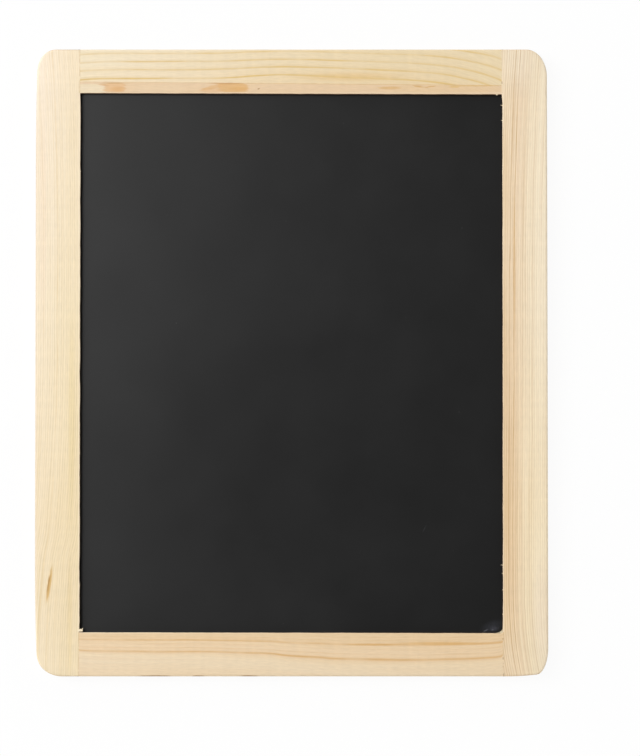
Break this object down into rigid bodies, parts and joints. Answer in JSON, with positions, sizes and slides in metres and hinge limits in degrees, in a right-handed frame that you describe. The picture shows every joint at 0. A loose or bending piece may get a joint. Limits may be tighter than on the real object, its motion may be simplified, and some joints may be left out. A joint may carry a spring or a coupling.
{
  "type": "writing board",
  "caption": "Hand-held chalk writing board: a thin black-coated panel held in the grooves of a glued pine frame with hand-rounded corners.",
  "frame": {"origin": "centre of the board's footprint on the surface it lies on, writing face up", "axes": "+X to the right of the writing face, +Y to the top rail, +Z out of the writing face"},
  "size_m": [0.215, 0.2632, 0.0095],
  "materials": {
    "left_stile_pine": "matte",
    "right_stile_pine": "matte",
    "top_rail_pine": "matte",
    "bottom_rail_pine": "matte",
    "chalkboard_coat": "satin",
    "dried_glue": "satin"
  },
  "bodies": {
    "root": {"left_stile": "left_stile_pine", "right_stile": "right_stile_pine", "top_rail": "top_rail_pine", "bottom_rail": "bottom_rail_pine", "writing_panel": "chalkboard_coat", "corner_glue": "dried_glue", "glue_bead": "dried_glue"}
  },
  "joints": []
}
